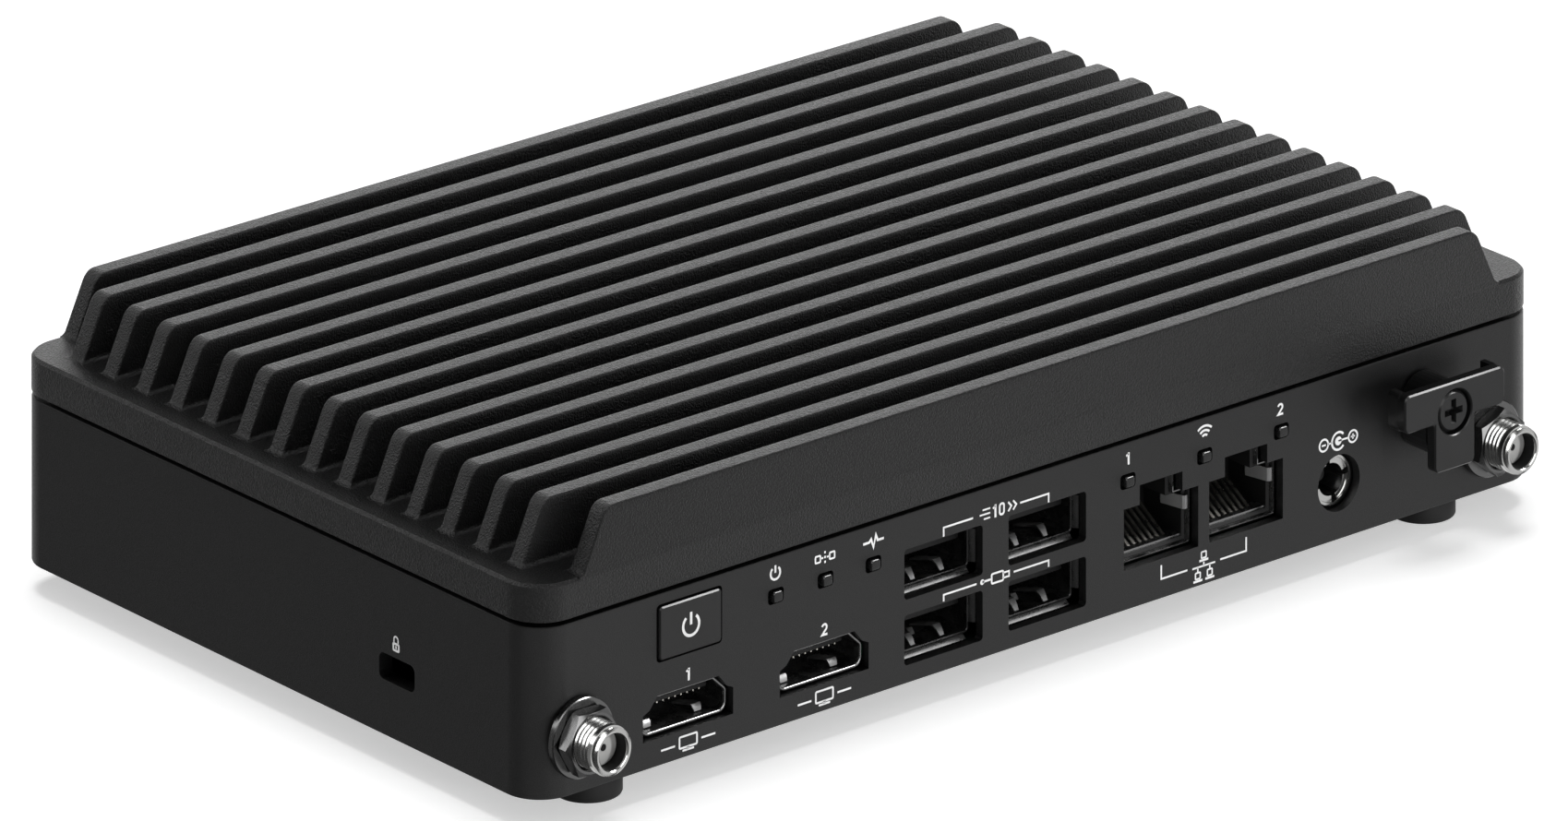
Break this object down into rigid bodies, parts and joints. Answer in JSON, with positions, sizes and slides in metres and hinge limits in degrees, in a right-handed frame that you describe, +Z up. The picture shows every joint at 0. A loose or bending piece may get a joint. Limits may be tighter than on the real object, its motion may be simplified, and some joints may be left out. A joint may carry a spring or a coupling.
{
  "type": "mini pc",
  "caption": "Fanless mini PC: a finned heat sink over a shallow black chassis, with its ports, push button, cable clip and antenna connectors on one long side.",
  "frame": {"origin": "centre of the bounding box at its lowest level, where the rubber feet rest", "axes": "+X along the long side, to the right for a person who faces the ports; +Y away from the port side, towards the plain rear; +Z up"},
  "size_m": [0.174, 0.1156, 0.0391],
  "materials": {
    "cast_aluminium": "fine cast texture under a matt black coat",
    "coated_aluminium": "matt black powder coat",
    "rubber_foot": "matt",
    "black_steel": "blackened",
    "dark_plastic": "fine satin",
    "lens_plastic": "smoked, unlit",
    "circuit_board": "solder mask",
    "port_metal": "bright nickel plate, formed sheet",
    "bright_metal": "turned and nickel plated",
    "white_plastic": "plain",
    "cable_jacket": "thin jacket",
    "plain_steel": "plain",
    "chip_package": "plain",
    "soft_pad": "soft, matt"
  },
  "bodies": {
    "case": {"antenna_connector_left": "bright_metal", "antenna_connector_right": "bright_metal", "antenna_insulator_left": "white_plastic", "antenna_insulator_right": "white_plastic", "antenna_lead_left": "cable_jacket", "antenna_lead_right": "cable_jacket", "antenna_nut_left": "bright_metal", "antenna_nut_right": "bright_metal", "antenna_washer_left": "bright_metal", "antenna_washer_right": "bright_metal", "board_screw_1": "plain_steel", "board_screw_2": "plain_steel", "board_screw_3": "plain_steel", "board_screw_4": "plain_steel", "cable_clip": "dark_plastic", "case_screw_front_left": "black_steel", "case_screw_front_right": "black_steel", "case_screw_rear_left": "black_steel", "case_screw_rear_right": "black_steel", "clip_screw": "black_steel", "coin_cell": "plain_steel", "foot_front_left": "rubber_foot", "foot_front_right": "rubber_foot", "foot_rear_left": "rubber_foot", "foot_rear_right": "rubber_foot", "heat_sink": "cast_aluminium", "indicator_board": "circuit_board", "light_pipe_activity": "lens_plastic", "light_pipe_network_1": "lens_plastic", "light_pipe_network_2": "lens_plastic", "light_pipe_power": "lens_plastic", "light_pipe_storage": "lens_plastic", "light_pipe_wireless": "lens_plastic", "lower_chassis": "coated_aluminium", "main_board": "circuit_board", "memory_module": "circuit_board", "memory_socket": "dark_plastic", "network_port_insert_1": "dark_plastic", "network_port_insert_2": "dark_plastic", "network_port_shell_1": "port_metal", "network_port_shell_2": "port_metal", "power_inlet_body": "dark_plastic", "power_inlet_pin": "bright_metal", "power_inlet_sleeve": "bright_metal", "power_switch": "dark_plastic", "processor": "chip_package", "solid_state_drive": "circuit_board", "thermal_pad": "soft_pad", "usb_stack_insert_1": "dark_plastic", "usb_stack_insert_2": "dark_plastic", "usb_stack_shell_1": "port_metal", "usb_stack_shell_2": "port_metal", "video_port_shell_1": "port_metal", "video_port_shell_2": "port_metal", "video_port_tongue_1": "dark_plastic", "video_port_tongue_2": "dark_plastic", "wireless_card": "circuit_board"},
    "button": {"power_button": "dark_plastic", "switch_plunger": "dark_plastic"}
  },
  "joints": [
    {"name": "power_button_press", "type": "slide", "parent": "case", "child": "button", "axis": [0, 1, 0], "range_m": [0, 0.0005], "stiffness_N_per_m": 1500, "springref_m": -0.0005}
  ]
}
